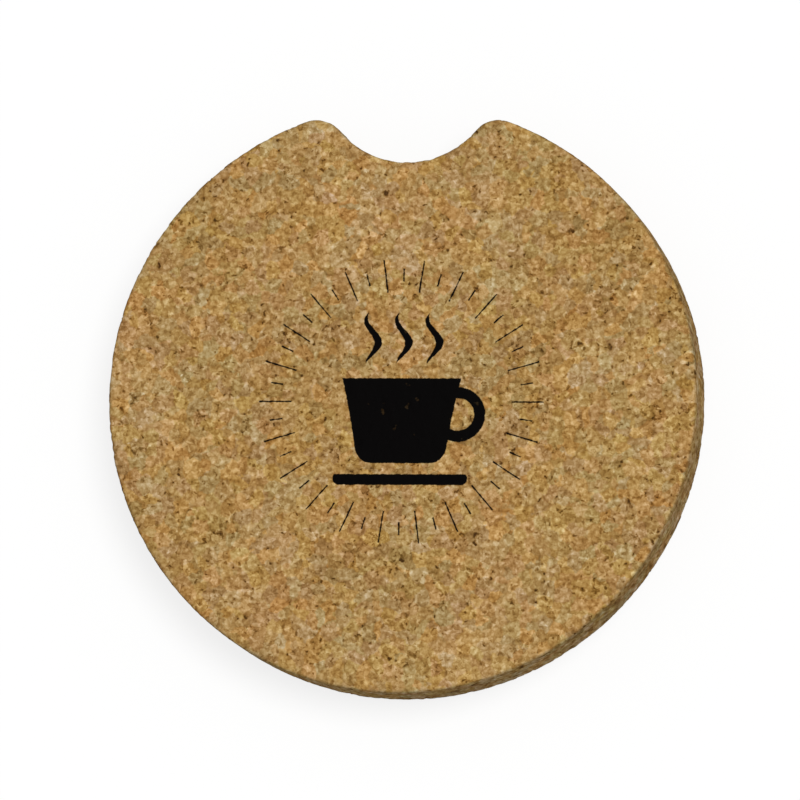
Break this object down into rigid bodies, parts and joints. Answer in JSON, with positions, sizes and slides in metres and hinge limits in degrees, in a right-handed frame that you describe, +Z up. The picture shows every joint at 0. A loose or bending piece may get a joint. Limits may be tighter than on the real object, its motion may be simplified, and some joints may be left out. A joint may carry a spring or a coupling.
{
  "type": "cork coaster",
  "caption": "Round die-cut cork coaster with a rounded finger notch in its rim, for a car's cup holder or a table.",
  "frame": {"origin": "centre of the disc's circle, on the underside that it rests on", "axes": "+Z is up, square to the faces, and +Y points from the centre of the disc to the finger notch"},
  "size_m": [0.065, 0.0632, 0.008],
  "materials": {
    "agglomerated_cork": "matte"
  },
  "bodies": {
    "root": {"cork_disc": "agglomerated_cork"}
  },
  "joints": []
}
